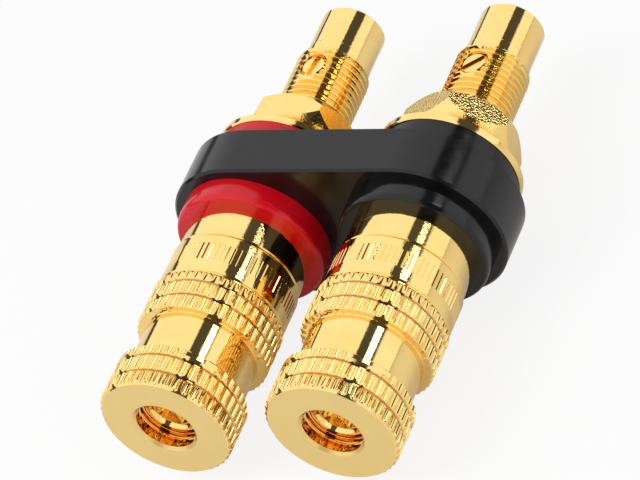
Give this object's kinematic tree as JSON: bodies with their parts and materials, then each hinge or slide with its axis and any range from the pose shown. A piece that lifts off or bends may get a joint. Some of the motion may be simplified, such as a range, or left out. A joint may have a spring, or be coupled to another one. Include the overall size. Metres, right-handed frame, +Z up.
{
  "type": "binding post pair",
  "caption": "Gold-plated loudspeaker binding posts, red and black, insulated on a shared plate, with plug sockets, wire clamps and threaded studs.",
  "frame": {"origin": "midway between the two post axes, on the mounting plate's rear face", "axes": "+Y along the posts towards the studs, +X along the plate from the red post to the black one, +Z up"},
  "size_m": [0.0374, 0.0555, 0.0184],
  "materials": {
    "gold_plating": "gold plate on turned brass, polished; the knobs' faces are satin",
    "spring_bronze": "satin spring wire",
    "red_plastic": "moulded, glossy",
    "black_plastic": "moulded, glossy"
  },
  "bodies": {
    "base": {"mounting_plate": "black_plastic", "red_front_insulator": "red_plastic", "red_contact_stem": "gold_plating", "black_front_insulator": "black_plastic", "black_contact_stem": "gold_plating"},
    "red_collar": {"red_clamp_collar": "gold_plating", "red_collar_ring": "spring_bronze"},
    "red_knob": {"red_knob": "gold_plating"},
    "red_rear_clamp": {"red_rear_insulator": "red_plastic", "red_washer": "gold_plating"},
    "red_nut": {"red_hex_nut": "gold_plating"},
    "red_set_screw": {"red_set_screw": "gold_plating"},
    "black_collar": {"black_clamp_collar": "gold_plating", "black_collar_ring": "spring_bronze"},
    "black_knob": {"black_knob": "gold_plating"},
    "black_rear_clamp": {"black_rear_insulator": "black_plastic", "black_washer": "gold_plating"},
    "black_nut": {"black_hex_nut": "gold_plating"},
    "black_set_screw": {"black_set_screw": "gold_plating"}
  },
  "joints": [
    {"name": "red_collar_slide", "type": "slide", "parent": "base", "child": "red_collar", "axis": [0, -1, 0], "range_m": [0, 0.0045]},
    {"name": "red_knob_turn", "type": "hinge", "parent": "red_collar", "child": "red_knob", "pos_m": [-0.0095, -0.0245, 0], "axis": [0, -1, 0], "range_deg": [0, 2160]},
    {"name": "red_clamp_slide", "type": "slide", "parent": "base", "child": "red_rear_clamp", "axis": [0, 1, 0], "range_m": [0, 0.01425]},
    {"name": "red_nut_turn", "type": "hinge", "parent": "red_rear_clamp", "child": "red_nut", "pos_m": [-0.0095, 0.007, 0], "axis": [0, 1, 0], "range_deg": [-1, 6841]},
    {"name": "red_set_screw_turn", "type": "hinge", "parent": "base", "child": "red_set_screw", "pos_m": [-0.0095, 0.0146, 0], "axis": [0, 0, 1], "range_deg": [-1440, 360]},
    {"name": "black_collar_slide", "type": "slide", "parent": "base", "child": "black_collar", "axis": [0, -1, 0], "range_m": [0, 0.0045]},
    {"name": "black_knob_turn", "type": "hinge", "parent": "black_collar", "child": "black_knob", "pos_m": [0.0095, -0.0245, 0], "axis": [0, -1, 0], "range_deg": [0, 2160]},
    {"name": "black_clamp_slide", "type": "slide", "parent": "base", "child": "black_rear_clamp", "axis": [0, 1, 0], "range_m": [0, 0.01425]},
    {"name": "black_nut_turn", "type": "hinge", "parent": "black_rear_clamp", "child": "black_nut", "pos_m": [0.0095, 0.007, 0], "axis": [0, 1, 0], "range_deg": [-1, 6841]},
    {"name": "black_set_screw_turn", "type": "hinge", "parent": "base", "child": "black_set_screw", "pos_m": [0.0095, 0.0146, 0], "axis": [0, 0, 1], "range_deg": [-1440, 360]}
  ],
  "couplings": [
    {"joint": "red_collar_slide", "follows": "red_knob_turn", "m_per_rad": 0.00011937},
    {"joint": "red_nut_turn", "follows": "red_clamp_slide", "rad_per_m": 8377.6},
    {"joint": "black_collar_slide", "follows": "black_knob_turn", "m_per_rad": 0.00011937},
    {"joint": "black_nut_turn", "follows": "black_clamp_slide", "rad_per_m": 8377.6}
  ]
}
